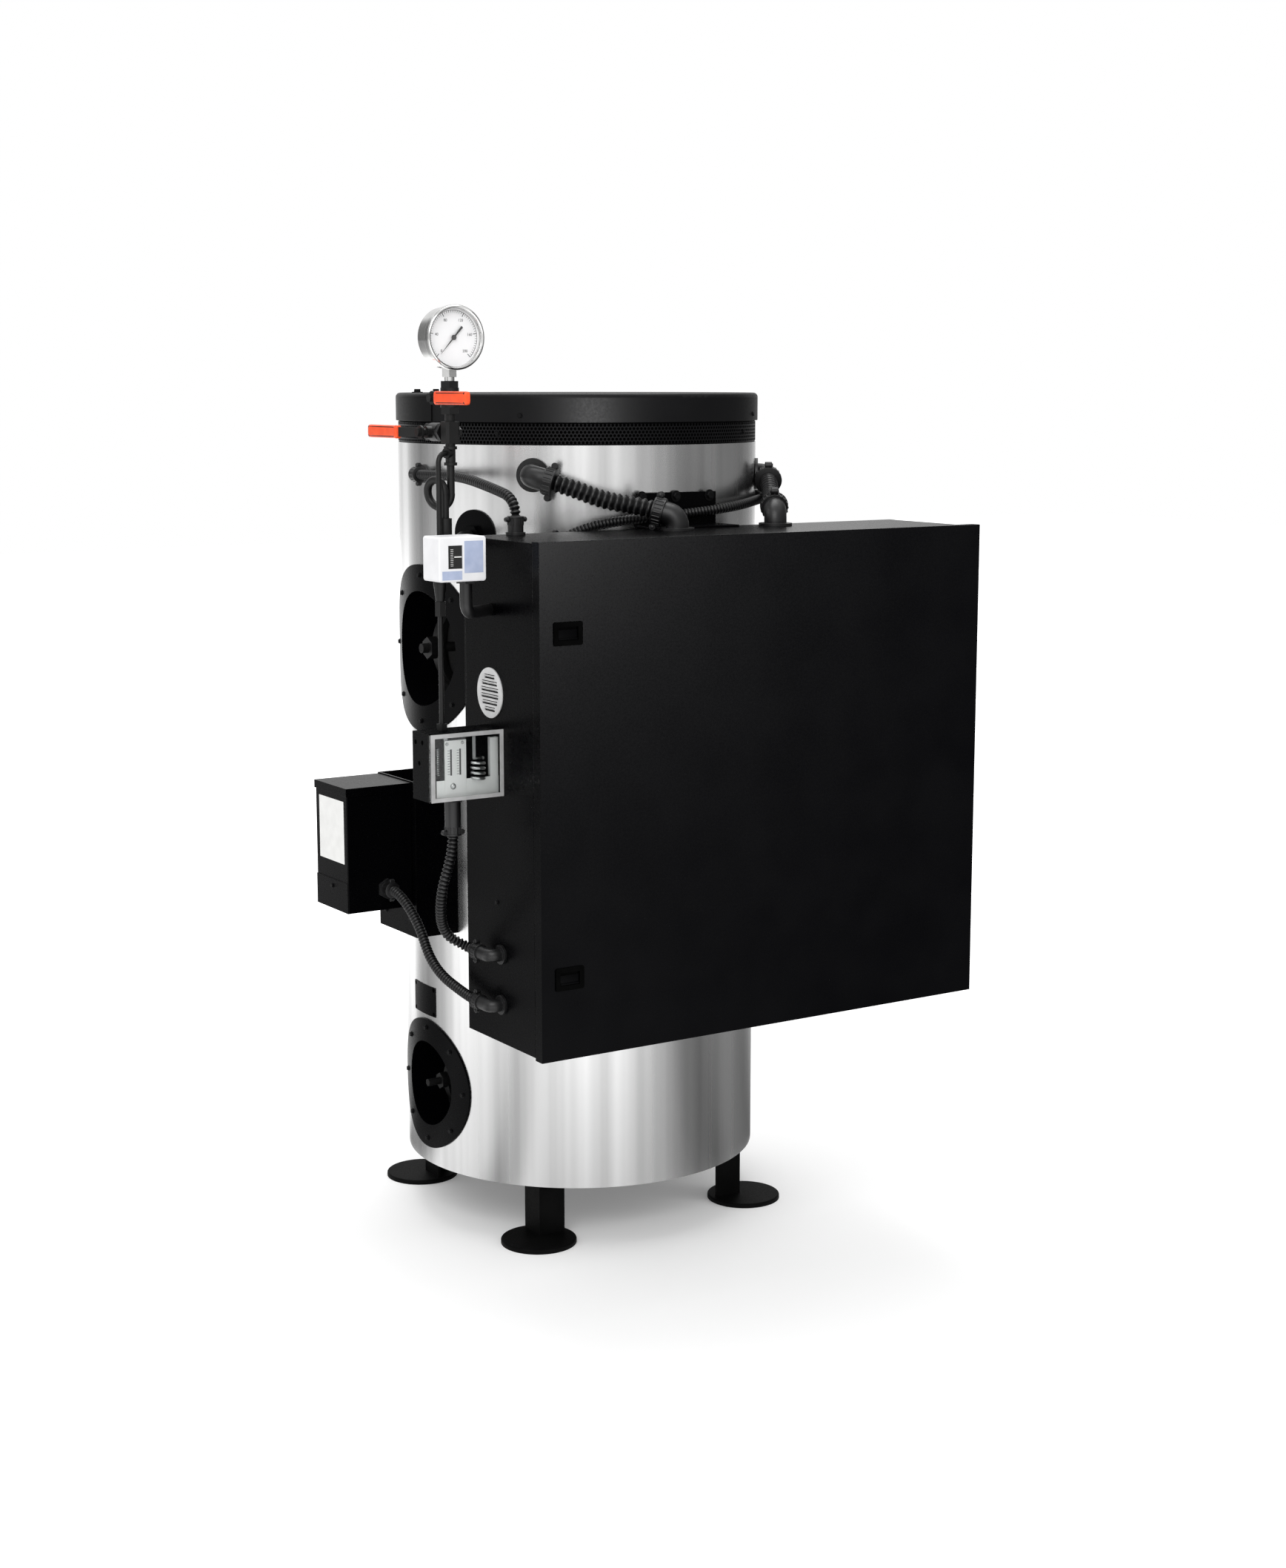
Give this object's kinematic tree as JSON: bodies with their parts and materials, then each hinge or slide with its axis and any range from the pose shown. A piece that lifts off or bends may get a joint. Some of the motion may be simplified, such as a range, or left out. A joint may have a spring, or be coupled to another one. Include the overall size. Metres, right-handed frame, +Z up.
{
  "type": "industrial boiler",
  "caption": "Upright electric steam boiler: brushed steel cylinder on legs, black lid and control cabinet, gauge tree, handholes, transformer and conduits.",
  "frame": {"origin": "on the floor under the casing's axis", "axes": "+Z up, the control cabinet faces -Y, the gauge tree and handholes are on the -X side"},
  "size_m": [0.8792, 0.8105, 1.412],
  "materials": {
    "brushed_stainless": "brushed",
    "black_paint": "satin",
    "dark_vessel_steel": "matte",
    "black_fittings": "satin",
    "black_plastic": "satin",
    "satin_aluminium": "satin",
    "polished_stainless": "polished",
    "white_dial": "matte",
    "clear_glass": "clear",
    "orange_vinyl": "satin",
    "white_plastic": "satin",
    "clear_plastic": "clear"
  },
  "bodies": {
    "boiler": {"casing": "brushed_stainless", "base_plate": "black_paint", "pressure_vessel": "dark_vessel_steel", "vent_band": "black_paint", "lid": "black_paint", "leg_front_left": "black_paint", "leg_front_right": "black_paint", "leg_back_left": "black_paint", "leg_back_right": "black_paint", "upper_handhole_collar": "black_paint", "lower_handhole_collar": "black_paint", "upper_handhole_cover": "dark_vessel_steel", "lower_handhole_cover": "dark_vessel_steel", "upper_handhole_yoke": "dark_vessel_steel", "lower_handhole_yoke": "dark_vessel_steel", "cabinet_back": "black_paint", "cabinet_left": "black_paint", "cabinet_right": "black_paint", "cabinet_top": "black_paint", "cabinet_bottom": "black_paint", "door_hinges": "black_paint", "cabinet_brackets": "black_paint", "side_vent": "satin_aluminium", "gauge_case": "polished_stainless", "gauge_dial": "white_dial", "gauge_lens": "clear_glass", "gauge_pointer": "black_plastic", "gauge_valve": "black_fittings", "test_valve": "black_fittings", "gauge_cross": "black_fittings", "siphon": "black_fittings", "steam_inlet": "black_fittings", "control_tube": "black_fittings", "limit_switch": "white_plastic", "switch_connector": "black_fittings", "control_case": "black_paint", "control_cover": "clear_plastic", "control_works": "black_fittings", "transformer": "black_paint", "transformer_bracket": "black_paint", "nameplate": "black_paint", "hole_cover": "black_paint", "casing_connectors": "black_plastic", "cabinet_connectors": "black_plastic", "control_connector": "black_plastic", "transformer_connector": "black_plastic", "feed_conduit_left": "black_plastic", "feed_conduit_right": "black_plastic", "rear_conduit": "black_plastic", "level_conduit": "black_plastic", "control_conduit": "black_plastic", "transformer_conduit": "black_plastic"},
    "door": {"cabinet_door": "black_paint", "door_latches": "black_plastic"},
    "gauge_lever": {"gauge_valve_lever": "orange_vinyl"},
    "test_lever": {"test_valve_lever": "orange_vinyl"}
  },
  "joints": [
    {"name": "cabinet_door_hinge", "type": "hinge", "parent": "boiler", "child": "door", "pos_m": [0.385, -0.5075, 0.75], "axis": [0, 0, 1], "range_deg": [0, 120]},
    {"name": "gauge_valve_turn", "type": "hinge", "parent": "boiler", "child": "gauge_lever", "pos_m": [-0.4295, -0.378, 1.2898], "axis": [1, 0, 0], "range_deg": [0, 90]},
    {"name": "test_valve_turn", "type": "hinge", "parent": "boiler", "child": "test_lever", "pos_m": [-0.4295, -0.342, 1.2435], "axis": [-1, 0, 0], "range_deg": [0, 90]}
  ]
}
